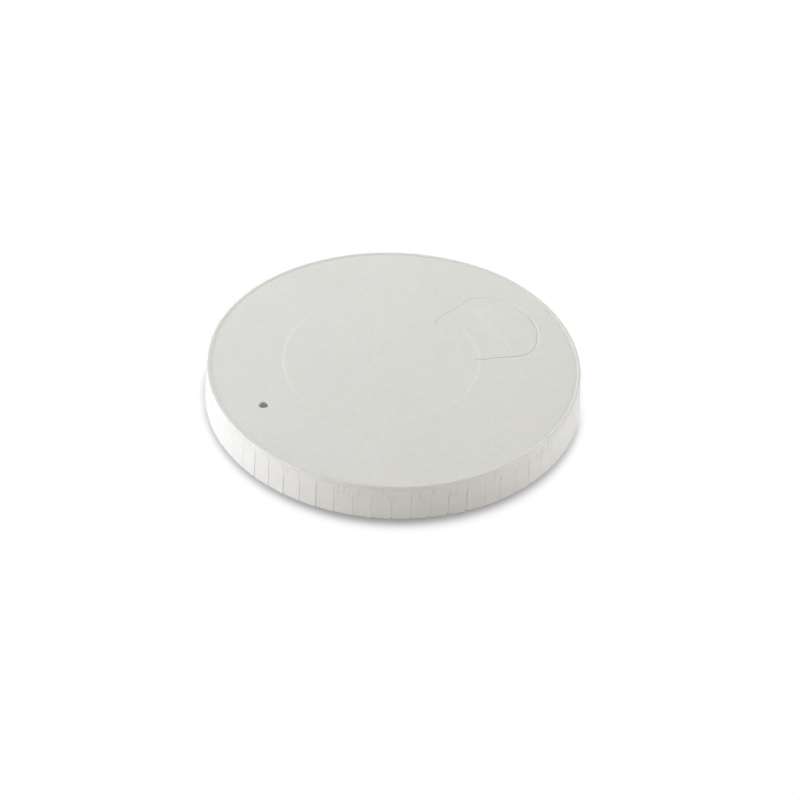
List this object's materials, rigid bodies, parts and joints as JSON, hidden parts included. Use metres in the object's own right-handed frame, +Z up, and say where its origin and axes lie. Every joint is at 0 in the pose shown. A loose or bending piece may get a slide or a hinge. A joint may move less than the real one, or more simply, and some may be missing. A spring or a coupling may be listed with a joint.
{
  "type": "paperboard hot cup lid",
  "caption": "Shallow round paperboard lid with a raised rim, a pleated flaring skirt, a die-cut sip tab, a pressed ring and a steam vent hole.",
  "frame": {"origin": "centre of the plane of the skirt's lower edge, on which the lid stands", "axes": "+Z up through the panel, +X from the centre towards the sip tab, with the vent hole on the -X side"},
  "size_m": [0.093, 0.093, 0.0096],
  "materials": {
    "paperboard": "matt uncoated white board"
  },
  "bodies": {
    "root": {"lid": "paperboard"}
  },
  "joints": []
}
